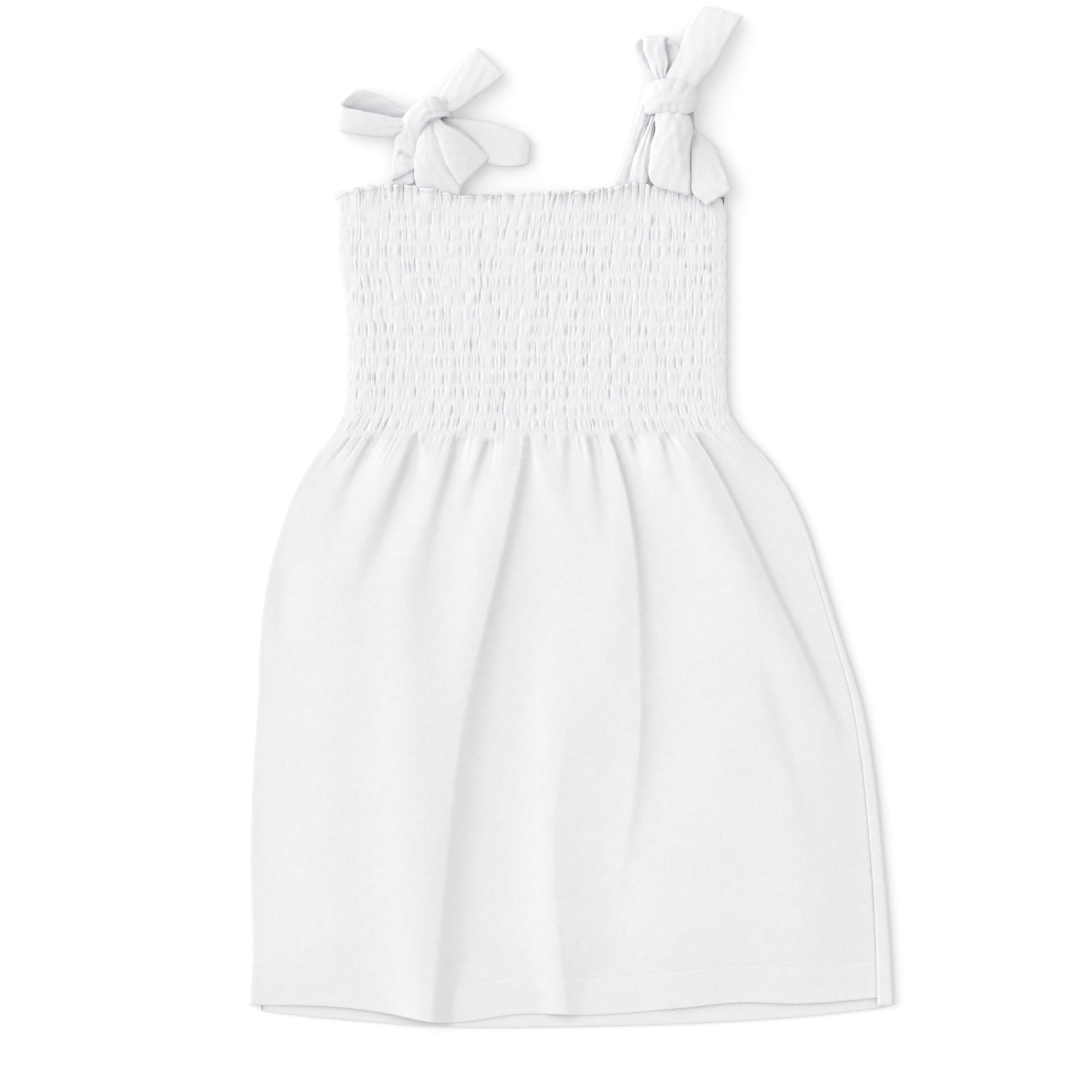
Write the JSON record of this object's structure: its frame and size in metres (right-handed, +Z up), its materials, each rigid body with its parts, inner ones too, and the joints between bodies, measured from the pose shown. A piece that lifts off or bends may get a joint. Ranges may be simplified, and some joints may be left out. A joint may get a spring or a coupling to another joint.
{
  "type": "toddler sundress",
  "caption": "Toddler's sundress in white terry, laid out flat: shirred bodice with a ruffled top edge, gathered skirt, and shoulder ties knotted in bows.",
  "frame": {"origin": "on the surface that the dress lies on, below the middle of its whole outline, bows included", "axes": "+X to the right as seen from above, +Y from the hem towards the bows, +Z up from the surface, out of the front of the dress"},
  "size_m": [0.3427, 0.539, 0.0169],
  "materials": {
    "terry_front": "soft looped pile, matt",
    "terry_back": "soft looped pile, matt",
    "terry_tie": "soft looped pile, matt"
  },
  "bodies": {
    "root": {"back": "terry_back", "front": "terry_front", "left_knot": "terry_tie", "right_knot": "terry_tie", "left_loop_inner": "terry_tie", "left_loop_outer": "terry_tie", "left_strap_back": "terry_tie", "left_strap_front": "terry_tie", "left_tail_lower": "terry_tie", "left_tail_upper": "terry_tie", "right_loop_lower": "terry_tie", "right_loop_upper": "terry_tie", "right_strap_back": "terry_tie", "right_strap_front": "terry_tie", "right_tail_lower": "terry_tie", "right_tail_upper": "terry_tie"}
  },
  "joints": []
}
